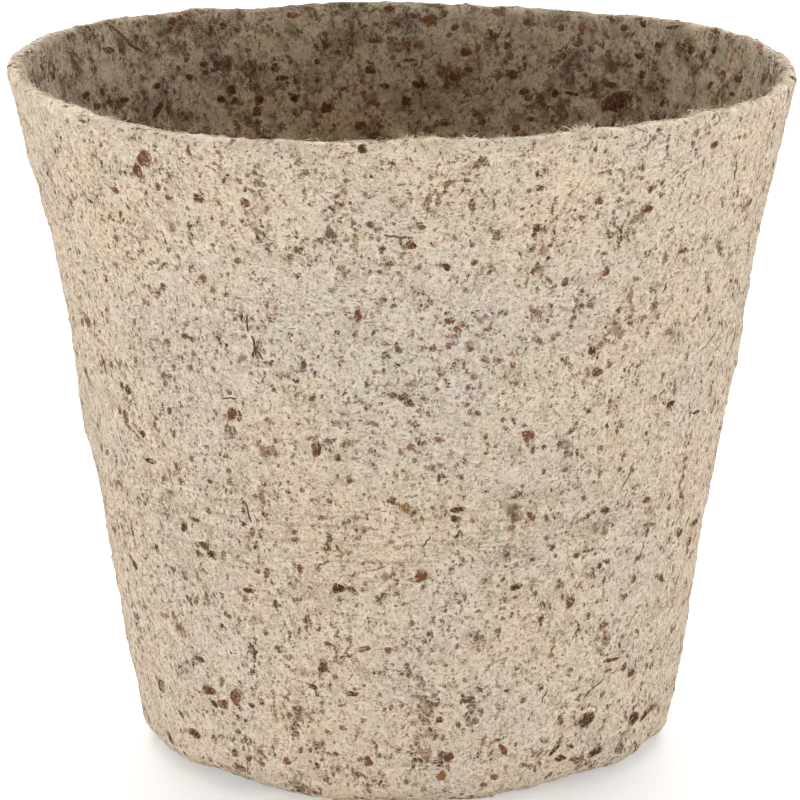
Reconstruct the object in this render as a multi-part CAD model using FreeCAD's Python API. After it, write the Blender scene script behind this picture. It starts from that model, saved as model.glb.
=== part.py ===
"""A round peat pot: one thin shell of pressed peat and wood fibre.

Sizes are in millimetres and +Z is up. The origin is the middle of the plane that the pot stands on.
The shell is one section turned about the Z axis. The section follows the pressed wall: a dished floor that
stands on a ring, a rounded foot, a low taper, a soft shoulder where stacked pots stop sliding, a middle
taper, a mouth that flares, and a soft lip where the pressed sheet ends.
"""
import FreeCAD
import Part

import math
import os

# Outside sizes, from the mouth down
rim_diameter = 80.0
pot_height = 70.0
flare_diameter = 71.4
flare_drop = 18.0
shoulder_top_diameter = 64.6
shoulder_bottom_diameter = 63.6
shoulder_height = 29.0
shoulder_rise = 2.6
foot_diameter = 54.0

# Thickness of the pressed sheet
wall = 1.7
floor_thickness = 1.9

# The floor is dished upwards, so that the pot stands on a ring
dish_diameter = 36.0
dish_depth = 1.0
dish_slope_run = 4.0

# How softly each corner of the section is rounded
foot_rounding = 3.2
inner_foot_rounding = 3.6
dish_rounding = 6.0
shoulder_rounding = 7.0
flare_rounding = 45.0
lip_rounding = 0.6

# A rounding takes at most this share of the shorter side next to it
rounding_limit_share = 0.45

FULL_TURN = 360.0
AXIS_POINT = FreeCAD.Vector(0, 0, 0)
AXIS_DIRECTION = FreeCAD.Vector(0, 0, 1)


def outer_corners():
    """Corners of the outside, from under the floor's middle to the lip, as (radius, height, rounding)."""
    dish_radius = dish_diameter / 2
    shoulder_bottom = shoulder_height - shoulder_rise / 2
    shoulder_top = shoulder_height + shoulder_rise / 2
    return [
        (0, dish_depth, 0),
        (dish_radius, dish_depth, dish_rounding),
        (dish_radius + dish_slope_run, 0, dish_rounding),
        (foot_diameter / 2, 0, foot_rounding),
        (shoulder_bottom_diameter / 2, shoulder_bottom, shoulder_rounding),
        (shoulder_top_diameter / 2, shoulder_top, shoulder_rounding),
        (flare_diameter / 2, pot_height - flare_drop, flare_rounding),
        (rim_diameter / 2, pot_height, lip_rounding),
    ]


def radius_between(lower, upper, height):
    """Radius at a height on the straight side from one corner to the next."""
    share = (height - lower[1]) / (upper[1] - lower[1])
    return lower[0] + share * (upper[0] - lower[0])


def inner_corners(outside):
    """Corners of the inside, from the lip to the floor's middle: the same sheet, one thickness in."""
    dish_edge, dish_foot, foot = outside[1], outside[2], outside[3]
    side = outside[4:]
    corners = [(radius - wall, height, rounding) for radius, height, rounding in reversed(side)]
    floor_edge_radius = radius_between(foot, side[0], floor_thickness) - wall
    corners.append((floor_edge_radius, floor_thickness, inner_foot_rounding))
    corners.append((dish_foot[0], floor_thickness, dish_rounding))
    corners.append((dish_edge[0], dish_depth + floor_thickness, dish_rounding))
    corners.append((0, dish_depth + floor_thickness, 0))
    return corners


def rounded_corner(before, corner, after):
    """Start, middle and end of the tangent arc that rounds a corner, or the corner itself if it is sharp."""
    point = FreeCAD.Vector(corner[0], 0, corner[1])
    to_before = FreeCAD.Vector(before[0], 0, before[1]) - point
    to_after = FreeCAD.Vector(after[0], 0, after[1]) - point
    half_angle = to_before.getAngle(to_after) / 2
    if not corner[2]:
        return [point]
    longest = rounding_limit_share * min(to_before.Length, to_after.Length)
    tangent_run = min(corner[2] / math.tan(half_angle), longest)
    radius = tangent_run * math.tan(half_angle)
    to_before.normalize()
    to_after.normalize()
    inward = to_before + to_after
    inward.normalize()
    middle = point + inward * (radius / math.sin(half_angle) - radius)
    return [point + to_before * tangent_run, middle, point + to_after * tangent_run]


def section_wire(corners):
    """The closed section: straight sides joined by tangent arcs."""
    stations = []
    for i, corner in enumerate(corners):
        stations.append(rounded_corner(corners[i - 1], corner, corners[(i + 1) % len(corners)]))
    edges = []
    for i, station in enumerate(stations):
        if len(station) == 3:
            edges.append(Part.Arc(*station).toShape())
        following = stations[(i + 1) % len(stations)]
        edges.append(Part.LineSegment(station[-1], following[0]).toShape())
    return Part.Wire(edges)


def pressed_shell():
    """The whole pot, which is pressed as one piece."""
    outside = outer_corners()
    section = Part.Face(section_wire(outside + inner_corners(outside)))
    shell = section.revolve(AXIS_POINT, AXIS_DIRECTION, FULL_TURN)
    shell.fix(Part.Precision.confusion(), Part.Precision.confusion(), Part.Precision.confusion())
    if shell.Volume < 0:
        shell.reverse()
    return shell


def write_parts():
    """One STEP file for each separate piece."""
    os.makedirs("parts", exist_ok=True)
    shell = pressed_shell()
    shell.exportStep("parts/pressed_shell.step")
    print("pressed_shell", shell.ShapeType, "valid", shell.isValid(), "volume", round(shell.Volume, 1))


write_parts()
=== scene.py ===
# %% [markdown]
# A pressed peat pot, dressed for a close look.
#
# The real pot is one sheet of wet peat and wood fibre. Two moulds press it and it dries hard, so it has no
# seams and no fittings. What a viewer sees is the sheet itself: cream fibre, grey clouds in it, dark peat
# specks, bits of red-brown bark, and loose fibres that stand off the surface.
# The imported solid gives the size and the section. Everything here is built on it, in metres.

import math

import bpy
import numpy as np
from mathutils import Matrix, Vector
from mathutils.bvhtree import BVHTree


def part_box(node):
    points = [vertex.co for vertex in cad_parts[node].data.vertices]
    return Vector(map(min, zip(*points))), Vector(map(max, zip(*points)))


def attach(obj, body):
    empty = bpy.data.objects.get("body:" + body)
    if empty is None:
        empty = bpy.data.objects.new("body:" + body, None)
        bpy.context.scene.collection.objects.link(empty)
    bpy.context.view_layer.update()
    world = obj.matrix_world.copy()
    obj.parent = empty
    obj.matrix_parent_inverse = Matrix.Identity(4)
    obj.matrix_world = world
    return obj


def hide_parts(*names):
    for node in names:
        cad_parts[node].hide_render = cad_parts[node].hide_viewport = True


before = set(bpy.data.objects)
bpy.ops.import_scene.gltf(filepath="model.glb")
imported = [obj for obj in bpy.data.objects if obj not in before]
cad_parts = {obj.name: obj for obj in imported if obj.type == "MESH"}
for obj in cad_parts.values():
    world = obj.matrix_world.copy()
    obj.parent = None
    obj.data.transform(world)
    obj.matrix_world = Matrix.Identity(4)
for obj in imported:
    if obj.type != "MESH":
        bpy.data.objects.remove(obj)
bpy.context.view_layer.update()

MM = 0.001
pressed_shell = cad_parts["pressed_shell"]
shell_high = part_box("pressed_shell")[1]
rim_radius = shell_high.x
pot_height = shell_high.z
print("pot:", round(rim_radius / MM, 2), "mm to the lip,", round(pot_height / MM, 2), "mm high")

# %% [markdown]
# The camera comes first, because later cells place bark bits by the pixel that they show at.
# The lens is long and the camera stands about 58 cm away, a little above the rim, so that the far lip and a
# strip of the inside show. It leans by less than half a degree.

# %% Camera
picture_side = 800
sensor_width = 36.0
lens_in_pixels = 5635.0
view_distance = 579.0 * MM
view_elevation = math.radians(13.82)
view_roll = math.radians(-0.435)
aim_point = Vector((-0.47 * MM, 0, 35.1 * MM))

toward_camera = Vector((0, -math.cos(view_elevation), math.sin(view_elevation)))
camera_data = bpy.data.cameras.new("camera")
camera_data.sensor_width = sensor_width
camera_data.lens = lens_in_pixels / picture_side * sensor_width
camera = bpy.data.objects.new("camera", camera_data)
bpy.context.scene.collection.objects.link(camera)
camera.location = aim_point + toward_camera * view_distance
level_camera = toward_camera.to_track_quat("Z", "Y").to_matrix().to_4x4()
camera_turn = level_camera @ Matrix.Rotation(view_roll, 4, "Z")
camera.rotation_euler = camera_turn.to_euler()
bpy.context.scene.camera = camera


def ray_through(pixel_x, pixel_y):
    """Direction from the camera through a pixel of the picture."""
    across = (pixel_x - picture_side / 2) / lens_in_pixels
    down = (pixel_y - picture_side / 2) / lens_in_pixels
    return (camera_turn.to_3x3() @ Vector((across, -down, -1))).normalized()


print("camera at", [round(c / MM) for c in camera.location], "mm")

# %% [markdown]
# The frame arrives with all its objects selected, and an operator acts on all that is selected. So a helper
# selects just the pieces that a step works on. Others read and write the places of a mesh's points, and put
# its faces in a fixed order. Later cells draw faces at random, so that order has to be the same each run.


# %% Selection and mesh helpers
def work_on(*pieces):
    """Leaves only these objects selected, with the first one active."""
    if bpy.context.object and bpy.context.object.mode == "EDIT":
        bpy.ops.object.mode_set(mode="OBJECT")
    bpy.ops.object.select_all(action="DESELECT")
    for piece in pieces:
        piece.select_set(True)
    bpy.context.view_layer.objects.active = pieces[0]


def places_of(piece):
    """The mesh's points as an array of rows."""
    places = np.empty(len(piece.data.vertices) * 3, np.float32)
    piece.data.vertices.foreach_get("co", places)
    return places.reshape(-1, 3).astype(float)


def set_places(piece, places):
    """Puts the mesh's points at these places."""
    piece.data.vertices.foreach_set("co", np.asarray(places, np.float32).ravel())
    piece.data.update()


def sort_faces(piece):
    """Puts the faces in a fixed order, because merging leaves one that changes from run to run."""
    faces = []
    for face in piece.data.polygons:
        corners = list(face.vertices)
        first = corners.index(min(corners))
        faces.append(corners[first:] + corners[:first])
    places = places_of(piece).tolist()
    piece.data.clear_geometry()
    piece.data.from_pydata(places, [], sorted(faces))


# %% [markdown]
# The wall is a turned shape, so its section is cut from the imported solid: a copy of its mesh is merged, cut
# with a plane through the axis, and only the cut line is kept. That way no size is written twice.


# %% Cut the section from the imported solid
def cut_section():
    """Points (radius, height) from the middle of the underside, round the lip, to the middle of the floor."""
    copy = bpy.data.objects.new("section_cut", pressed_shell.data.copy())
    bpy.context.scene.collection.objects.link(copy)
    work_on(copy)
    bpy.ops.object.mode_set(mode="EDIT")
    bpy.ops.mesh.select_all(action="SELECT")
    bpy.ops.mesh.remove_doubles(threshold=0.001 * MM)
    bpy.ops.mesh.bisect(plane_co=(0, 0, 0), plane_no=(0, 1, 0), clear_inner=True, clear_outer=True)
    bpy.ops.object.mode_set(mode="OBJECT")
    points = {v.index: (v.co.x, v.co.z) for v in copy.data.vertices}
    beside = {i: [] for i in points}
    for edge in copy.data.edges:
        first, second = edge.vertices
        beside[first].append(second)
        beside[second].append(first)
    right_side = [i for i in points if points[i][0] > 0]
    here = min(right_side, key=lambda i: (round(points[i][0] / MM), points[i][1]))
    line = [here]
    while True:
        ahead = [i for i in beside[here] if i not in line and points[i][0] > 0]
        if not ahead:
            break
        here = ahead[0]
        line.append(here)
    bpy.data.objects.remove(copy)
    return np.array([points[i] for i in line])


section = cut_section()
print("section:", len(section), "points, from", section[0] / MM, "to", section[-1] / MM)

# %% [markdown]
# The section is then given even steps. The outside gets half-millimetre rows, because its felt relief shows
# most. The inside starts as fine at the lip and grows coarser with depth, where nobody can look closely.

# %% Even steps along the section
floor_join_radius = 22.5 * MM
outside_step = 0.5 * MM
inside_step_growth = 0.026
around = 432

lip_index = int(np.argmax(section[:, 1]))
outer_line = section[: lip_index + 1]
outer_line = outer_line[outer_line[:, 0] > floor_join_radius]
inner_line = section[lip_index:]
inner_line = inner_line[inner_line[:, 0] > floor_join_radius]


def along(line, distances):
    """Points of a line at these distances from its start."""
    run = np.r_[0, np.cumsum(np.linalg.norm(np.diff(line, axis=0), axis=1))]
    return np.stack([np.interp(distances, run, line[:, k]) for k in (0, 1)], 1)


def line_length(line):
    """How far it is along a line."""
    return np.linalg.norm(np.diff(line, axis=0), axis=1).sum()


outer_points = along(outer_line, np.arange(0, line_length(outer_line), outside_step))
inside_stops = [outside_step / 2]
while inside_stops[-1] < line_length(inner_line):
    inside_stops.append(inside_stops[-1] + outside_step + inside_step_growth * inside_stops[-1])
inner_points = along(inner_line, inside_stops)
wall_points = np.vstack([outer_points, inner_points])
print("wall section:", len(outer_points), "outside rows and", len(inner_points), "inside rows")

# %% [markdown]
# A lathe shape is the natural way to make the wall: the section line is spun once round the axis. The two
# round floors would end in needle-thin faces at the middle, so each is a grid-filled disc instead, with half
# as many edges, bridged to the wall.


# %% Spin the wall
def spun_wall():
    """The section line turned round the Z axis."""
    line_mesh = bpy.data.meshes.new("pot_shell")
    corners = [(radius, 0, height) for radius, height in wall_points]
    line_mesh.from_pydata(corners, [(i, i + 1) for i in range(len(corners) - 1)], [])
    wall = bpy.data.objects.new("pot_shell", line_mesh)
    bpy.context.scene.collection.objects.link(wall)
    work_on(wall)
    bpy.ops.object.mode_set(mode="EDIT")
    bpy.ops.mesh.select_all(action="SELECT")
    bpy.ops.mesh.spin(steps=around, angle=2 * math.pi, center=(0, 0, 0), axis=(0, 0, 1))
    bpy.ops.mesh.select_all(action="SELECT")
    bpy.ops.mesh.remove_doubles(threshold=0.01 * MM)
    bpy.ops.object.mode_set(mode="OBJECT")
    return wall


def floor_disc(join_radius, floor_line):
    """A grid-filled disc that follows the floor's dish."""
    floor_line = floor_line[np.argsort(floor_line[:, 0])]
    disc_radius = join_radius - outside_step
    bpy.ops.object.select_all(action="DESELECT")
    bpy.ops.mesh.primitive_circle_add(vertices=around // 2, radius=disc_radius, fill_type="NOTHING")
    disc = bpy.context.object
    bpy.ops.object.mode_set(mode="EDIT")
    bpy.ops.mesh.select_all(action="SELECT")
    bpy.ops.mesh.fill_grid(span=around // 8)
    bpy.ops.object.mode_set(mode="OBJECT")
    places = places_of(disc)
    radii = np.hypot(places[:, 0], places[:, 1])
    places[:, 2] = np.interp(radii, floor_line[:, 0], floor_line[:, 1])
    set_places(disc, places)
    return disc


pot_shell = spun_wall()
underside_disc = floor_disc(wall_points[0][0], section[: lip_index + 1])
floor_top_disc = floor_disc(wall_points[-1][0], section[lip_index:])
work_on(pot_shell, underside_disc, floor_top_disc)
bpy.ops.object.join()
sort_faces(pot_shell)
print("wall and floors:", len(pot_shell.data.polygons), "faces")

# %% [markdown]
# The discs and the wall are still apart, with two rings of open edges at each join. A bridge fills the gap
# between two rings with a band of faces. It acts on what is selected, so the rings are found first, as the
# edges that only one face uses. Any such edge at the end would be a hole, so they are counted.


# %% Bridge the floors to the wall
def open_edges(mesh):
    """Edges that only one face uses."""
    uses = {}
    for face in mesh.polygons:
        for key in face.edge_keys:
            uses[key] = uses.get(key, 0) + 1
    return {edge.index for edge in mesh.edges if uses.get(edge.key, 0) == 1}


def bridge_level(piece, low, high):
    """Joins the two open rings whose height lies in this range."""
    work_on(piece)
    edges = open_edges(piece.data)
    heights = places_of(piece)[:, 2].tolist()
    bpy.ops.object.mode_set(mode="EDIT")
    bpy.ops.mesh.select_mode(type="EDGE")
    bpy.ops.mesh.select_all(action="DESELECT")
    bpy.ops.object.mode_set(mode="OBJECT")
    for edge in piece.data.edges:
        edge.select = edge.index in edges and low <= heights[edge.vertices[0]] <= high
    bpy.ops.object.mode_set(mode="EDIT")
    bpy.ops.mesh.bridge_edge_loops()
    bpy.ops.object.mode_set(mode="OBJECT")


# Halfway between the join under the floor and the join on top of it
floor_middle = float(wall_points[0][1] + wall_points[-1][1]) / 2
bridge_level(pot_shell, -1 * MM, floor_middle)
bridge_level(pot_shell, floor_middle, pot_height / 2)
work_on(pot_shell)
bpy.ops.object.mode_set(mode="EDIT")
bpy.ops.mesh.select_all(action="SELECT")
bpy.ops.mesh.normals_make_consistent(inside=False)
bpy.ops.object.mode_set(mode="OBJECT")
sort_faces(pot_shell)
bpy.ops.object.shade_smooth()
print("closed shell:", len(pot_shell.data.polygons), "faces,", len(open_edges(pot_shell.data)), "open edges")

# %% [markdown]
# No pressed pot is true. It comes off the mould damp, leans on its neighbours and dries a little crooked.
# These pulls are done as by hand: one point of the wall is taken, and what lies round it follows softly.


# %% Crooked from drying
def wall_place(side, height):
    """The point on the outside at an angle from +X, in degrees, and a height in millimetres."""
    radius = np.interp(height * MM, outer_points[:, 1], outer_points[:, 0])
    turn = math.radians(side)
    return Vector((radius * math.cos(turn), radius * math.sin(turn), height * MM))


def soft_pull(piece, side, height, out, up, reach):
    """Moves the wall at a place outwards and upwards, fading to nothing at the reach. All in millimetres."""
    target = np.array(wall_place(side, height))
    nearest = int(np.argmin(((places_of(piece) - target) ** 2).sum(1)))
    bpy.ops.object.mode_set(mode="EDIT")
    bpy.ops.mesh.select_mode(type="VERT")
    bpy.ops.mesh.select_all(action="DESELECT")
    bpy.ops.object.mode_set(mode="OBJECT")
    piece.data.vertices[nearest].select = True
    bpy.ops.object.mode_set(mode="EDIT")
    turn = math.radians(side)
    bpy.ops.transform.translate(
        value=(out * MM * math.cos(turn), out * MM * math.sin(turn), up * MM),
        use_proportional_edit=True,
        proportional_edit_falloff="SMOOTH",
        proportional_size=reach * MM,
    )
    bpy.ops.object.mode_set(mode="OBJECT")


# Side in degrees from +X, then height, out, up and reach in millimetres
pulls = [
    (180, 69, 0.0, 0.5, 70),
    (0, 69, 0.0, -0.5, 70),
    (155, 69, 0.0, 0.5, 30),
    (85, 69, 0.0, -0.5, 42),
    (25, 69, 0.0, 0.3, 22),
    (238, 69, 0.0, -0.75, 24),
    (297, 69, 0.0, 0.3, 5),
    (320, 69, 0.0, 0.4, 4),
    (180, 48, -0.5, 0.0, 13),
    (182, 28, -0.3, 0.0, 9),
    (0, 47, 0.2, 0.0, 12),
    (0, 29, -0.35, 0.0, 9),
    (0, 22, -0.45, 0.0, 9),
    (0, 3, -0.3, 0.2, 6),
    (222, 1, 0.0, 0.9, 14),
    (310, 1, 0.0, 0.7, 14),
    (338, 1, -0.2, 0.9, 7),
    (195, 1, -0.2, 0.5, 6),
]
work_on(pot_shell)
for pull in pulls:
    soft_pull(pot_shell, *pull)
print("pulls made:", len(pulls))

# %% [markdown]
# Felted fibre is never smooth. Three layers of soft noise push the surface in and out: wide and low for the
# uneven thickness, then lumps of a few millimetres, then the grain. Each is a modifier that is applied.


# %% Felt relief
def felt_relief(piece, title, grain, depth, octaves):
    """Pushes the surface along its normals by a cloud pattern with lumps of this size."""
    clouds = bpy.data.textures.new(title, "CLOUDS")
    clouds.noise_scale = grain * MM
    clouds.noise_depth = octaves
    work_on(piece)
    bpy.ops.object.modifier_add(type="DISPLACE")
    push = piece.modifiers[-1]
    push.texture = clouds
    push.texture_coords = "LOCAL"
    push.strength = depth * MM
    push.mid_level = 0.5
    bpy.ops.object.modifier_apply(modifier=push.name)


def keep_above_ground(piece):
    """Lifts what lies under the level that the pot stands on."""
    places = places_of(piece)
    places[:, 2] = np.maximum(places[:, 2], 0)
    set_places(piece, places)


felt_relief(pot_shell, "uneven sheet", grain=9.0, depth=0.5, octaves=0)
felt_relief(pot_shell, "felt lumps", grain=2.4, depth=0.34, octaves=1)
felt_relief(pot_shell, "felt grain", grain=1.0, depth=0.22, octaves=1)
keep_above_ground(pot_shell)
print("shell with relief:", len(pot_shell.data.polygons), "faces")

# %% [markdown]
# Node trees are long to write by hand. With these helpers each line adds one node, sets it and wires its
# inputs, so a tree reads like a sum: what goes in stands in the brackets, and what comes out has a name.


# %% Colours, sums and mixes
def paint(red, green, blue):
    """A colour as seen on screen, 0 to 255, turned into the linear values that a shader takes."""
    shares = [c / 255 for c in (red, green, blue)]
    return tuple(s / 12.92 if s <= 0.04045 else ((s + 0.055) / 1.055) ** 2.4 for s in shares) + (1,)


def wire(tree, node, values):
    """Sets the inputs of a node. Each is a value, or a socket to link from."""
    for name, value in values.items():
        if isinstance(value, bpy.types.NodeSocket):
            tree.links.new(value, node.inputs[name])
        else:
            node.inputs[name].default_value = value
    return node


def add(tree, kind, inputs=None, **settings):
    """Adds a node with these settings and inputs."""
    node = tree.nodes.new(kind)
    for name, value in settings.items():
        setattr(node, name, value)
    return wire(tree, node, inputs or {})


def maths(tree, operation, *values):
    """The result of a Math node."""
    return add(tree, "ShaderNodeMath", dict(enumerate(values)), operation=operation).outputs[0]


def times(tree, first, *others):
    """The product of two values or more."""
    for other in others:
        first = maths(tree, "MULTIPLY", first, other)
    return first


def highest(tree, first, *others):
    """The highest of some values at each place."""
    for other in others:
        first = maths(tree, "MAXIMUM", first, other)
    return first


def vectors(tree, operation, first, second):
    """The result of a Vector Math node, with two vectors, or with a vector and its scale."""
    inputs = {0: first, "Scale" if operation == "SCALE" else 1: second}
    return add(tree, "ShaderNodeVectorMath", inputs, operation=operation).outputs[0]


def mixed(tree, share, first, second, blend="MIX"):
    """One colour laid over another."""
    node = add(tree, "ShaderNodeMix", data_type="RGBA", blend_type=blend)
    return wire(tree, node, {0: share, 6: first, 7: second}).outputs[2]


def spread(tree, value, low, high, to_low=0.0, to_high=1.0):
    """Stretches a range of values to another, softly at both ends."""
    names = {"Value": value, "From Min": low, "From Max": high, "To Min": to_low, "To Max": to_high}
    return add(tree, "ShaderNodeMapRange", names, interpolation_type="SMOOTHSTEP").outputs[0]


# %% [markdown]
# Every pattern starts from a place. It is the place on the object, so that the pattern stays with the piece
# wherever that goes. Pushing the place about before a pattern reads it makes the pattern's own lines waver.


# %% Places and noise
def noise(tree, place, scale, detail=2.0, rough=0.5):
    """The value of a noise texture. A scale of 1000 gives lumps of about a millimetre."""
    settings = {"Vector": place, "Scale": scale, "Detail": detail, "Roughness": rough}
    return add(tree, "ShaderNodeTexNoise", settings).outputs[0]


def coloured_noise(tree, place, scale, detail):
    """The colour of a noise texture, which is three patterns in one."""
    settings = {"Vector": place, "Scale": scale, "Detail": detail}
    return add(tree, "ShaderNodeTexNoise", settings).outputs["Color"]


def drifted(tree, place, scale, reach, detail=1.5):
    """The same place pushed about a little, so that straight patterns bend."""
    centred = vectors(tree, "SUBTRACT", coloured_noise(tree, place, scale, detail), (0.5, 0.5, 0.5))
    return vectors(tree, "ADD", place, vectors(tree, "SCALE", centred, reach))


def mark_of(tree, title):
    """A number that is stored on the mesh."""
    return add(tree, "ShaderNodeAttribute", attribute_name=title).outputs["Fac"]


def object_place(tree):
    """The place on the object that patterns read, in metres."""
    return add(tree, "ShaderNodeTexCoord").outputs["Object"]


# %% [markdown]
# All the fibre and bark here is matt. What is the same all over a surface, such as its roughness, is set on
# the shader itself, and only colour and fine relief come from patterns.


# %% Materials and node groups
def new_material(title, roughness, shine):
    """A material with its node tree and its shader."""
    material = bpy.data.materials.new(title)
    material.use_nodes = True
    shader = material.node_tree.nodes["Principled BSDF"]
    wire(material.node_tree, shader, {"Roughness": roughness, "Specular IOR Level": shine})
    return material, material.node_tree, shader


def add_bump(tree, shader, height, depth):
    """Fine relief that only the light sees, this many millimetres deep."""
    bump = add(tree, "ShaderNodeBump", {"Height": height, "Strength": 0.6, "Distance": depth * MM})
    wire(tree, shader, {"Normal": bump.outputs["Normal"]})


def new_group(title, inputs, outputs):
    """An empty shader node group with named inputs and outputs, and its two end nodes."""
    group = bpy.data.node_groups.new(title, "ShaderNodeTree")
    for name, kind, value in inputs:
        socket = group.interface.new_socket(name=name, in_out="INPUT", socket_type=kind)
        if value is not None:
            socket.default_value = value
    for name in outputs:
        group.interface.new_socket(name=name, in_out="OUTPUT", socket_type="NodeSocketFloat")
    return group, group.nodes.new("NodeGroupInput").outputs, group.nodes.new("NodeGroupOutput").inputs


# %% [markdown]
# Peat specks are a cell pattern. Each cell may hold one speck, with its own size, strength and tone. The
# crowd number says how many cells do, so specks come in clusters where a slow cloud pattern is high. It is
# a node group, because the felt uses it twice, and its inputs are what changes from one layer to the next.

# %% Peat speck group
speck_group, given, result = new_group(
    "peat specks",
    [
        ("Vector", "NodeSocketVector", None),
        ("Scale", "NodeSocketFloat", 1000.0),
        ("Size", "NodeSocketFloat", 0.3),
        ("Ragged", "NodeSocketFloat", 0.2),
        ("Crowd", "NodeSocketFloat", 0.4),
    ],
    ["Mask", "Tone"],
)
tree = speck_group
wobble_scale = times(tree, given["Scale"], 2.2)
wobble_size = maths(tree, "DIVIDE", given["Ragged"], given["Scale"])
bent = drifted(tree, given["Vector"], wobble_scale, wobble_size, detail=2.0)
cells = add(tree, "ShaderNodeTexVoronoi", {"Vector": bent, "Scale": given["Scale"]}).outputs
chances = add(tree, "ShaderNodeSeparateColor", {0: cells["Color"]}).outputs
speck_radius = times(tree, given["Size"], spread(tree, chances[0], 0.0, 1.0, 0.45, 1.0))
speck_shape = spread(tree, cells["Distance"], speck_radius, times(tree, speck_radius, 0.35))
present = spread(tree, maths(tree, "SUBTRACT", given["Crowd"], chances[2]), 0.0, 0.2)
tree.links.new(times(tree, speck_shape, present), result["Mask"])
tree.links.new(chances[1], result["Tone"])


def specks(tree, place, scale, size, ragged, crowd):
    """One layer of specks: where they are, and a number for each that sets its colour."""
    inputs = {"Vector": place, "Scale": scale, "Size": size, "Ragged": ragged, "Crowd": crowd}
    outputs = wire(tree, add(tree, "ShaderNodeGroup", node_tree=speck_group), inputs).outputs
    return outputs["Mask"], outputs["Tone"]


print("peat speck group:", len(speck_group.nodes), "nodes")

# %% [markdown]
# Felt is fibres that cross at all angles. A fibre layer is a noise pattern stretched a lot in one direction.
# On a round wall a slanting direction is a helix, so the space is twisted about the pot's axis first: the
# twist grows with the height, and a pattern that is stretched upright in it comes out slanting on the wall.

# %% Fibre strand group
strand_group, given, result = new_group(
    "fibre strands",
    [
        ("Vector", "NodeSocketVector", None),
        ("Twist", "NodeSocketFloat", 0.0),
        ("Stretch", "NodeSocketVector", (1.0, 1.0, 1.0)),
        ("Least", "NodeSocketFloat", 0.55),
        ("Full", "NodeSocketFloat", 0.68),
    ],
    ["Mask"],
)
tree = strand_group
level = add(tree, "ShaderNodeSeparateXYZ", {0: given["Vector"]}).outputs["Z"]
turn_here = {"Vector": given["Vector"], "Angle": times(tree, level, given["Twist"])}
twisted = add(tree, "ShaderNodeVectorRotate", turn_here, rotation_type="Z_AXIS").outputs[0]
field = noise(tree, vectors(tree, "MULTIPLY", twisted, given["Stretch"]), 1.0, 0.0)
tree.links.new(spread(tree, field, given["Least"], given["Full"]), result["Mask"])

ridge_share = 0.35
strand_radius = 0.84 * rim_radius


def strand_layer(tree, place, twist, stretch, least, full):
    """Fibres of one direction. The pattern starts at the least value and is full at the other."""
    inputs = {"Vector": place, "Twist": twist, "Stretch": stretch, "Least": least, "Full": full}
    return wire(tree, add(tree, "ShaderNodeGroup", node_tree=strand_group), inputs).outputs[0]


def strands(tree, place, leans, width, length, least, full):
    """Fibres of one width and length in millimetres, at these leans from upright, laid over each other."""
    layers = []
    for lean in leans:
        slant = math.radians(lean)
        across = ridge_share * math.cos(slant) / (width * MM)
        along_axis = 1 / (length * MM * math.cos(slant))
        twist = math.tan(slant) / strand_radius
        layers.append(strand_layer(tree, place, twist, (across, across, along_axis), least, full))
    return highest(tree, *layers)


def level_strands(tree, place, width, length, least, full):
    """Fibres along X and along Y, which also cover the two floors."""
    across, lengthwise = ridge_share / (width * MM), 1 / (length * MM)
    stretches = ((lengthwise, across, across), (across, lengthwise, across))
    return highest(tree, *(strand_layer(tree, place, 0.0, stretch, least, full) for stretch in stretches))


print("fibre strand group:", len(strand_group.nodes), "nodes")

# %% [markdown]
# Some parts of the sheet differ from the rest, so each point of the mesh stores how much it belongs to them.
# The inside has bigger blots, and painted shade darkens it towards the mouth and over the back of the lip.
# The front lip has a painted highlight on its top, and one patch in front is paler. A material can read such
# marks, which is simpler than one for each zone and has no seams.


# %% Painted marks on the shell
def add_mark(piece, title, values):
    """Stores one number for each point of the mesh."""
    mark = piece.data.attributes.new(title, "FLOAT", "POINT")
    mark.data.foreach_set("value", np.asarray(values, np.float32))


def climb(values, start, run):
    """How far each value has come on its way from the start, 0 to 1. A negative run goes down."""
    return np.clip((values - start) / run, 0, 1)


normals = np.empty(len(pot_shell.data.vertices) * 3)
pot_shell.data.vertex_normals.foreach_get("vector", normals)
normals = normals.reshape(-1, 3)
places = places_of(pot_shell)
heights = places[:, 2] / MM
depths = places[:, 1] / rim_radius
sides = np.maximum(np.hypot(places[:, 0], places[:, 1]), MM)
outward = (normals[:, :2] * places[:, :2]).sum(1) / sides
floor_top = (normals[:, 2] > 0.5) & (heights < 12)
# The back of the lip takes the inside's colour and more of its painted shade, as a shaded part
back_lip = climb(heights, 67.5, 1.5) * climb(depths, 0.55, 0.385)
front_share = climb(depths, 0.3, -0.5)
pale_spot, pale_reach = np.array(wall_place(270, 48)), 15 * MM
pale_distance = np.linalg.norm((places - pale_spot) * (0.8, 1, 1.5), axis=1)

add_mark(pot_shell, "inside", np.maximum(np.maximum(climb(outward, 0, -0.5), floor_top), back_lip))
# A painted highlight on the top of the front lip, which faces up into the light
add_mark(pot_shell, "painted_lip_highlight", climb(heights, 68.7, 1.1) * front_share)
# Painted shade inside: darker towards the mouth, and most over the back of the lip
add_mark(pot_shell, "painted_mouth_shade", climb(heights, 56, 14) * (1 + 0.9 * back_lip))
add_mark(pot_shell, "pale_patch", climb(pale_distance, 1.3 * pale_reach, -pale_reach))
print("marks painted on", len(places), "points")

# %% [markdown]
# The sheet's colour is built in the order in which a pulp mat shows it, and each layer is laid over the last.
# The ground comes first: cream fibre with wide clouds that are warmer or greyer, then brownish patches, and
# mottles and grain that go both ways, paler and darker. One noise of each size gives all of them.

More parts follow.
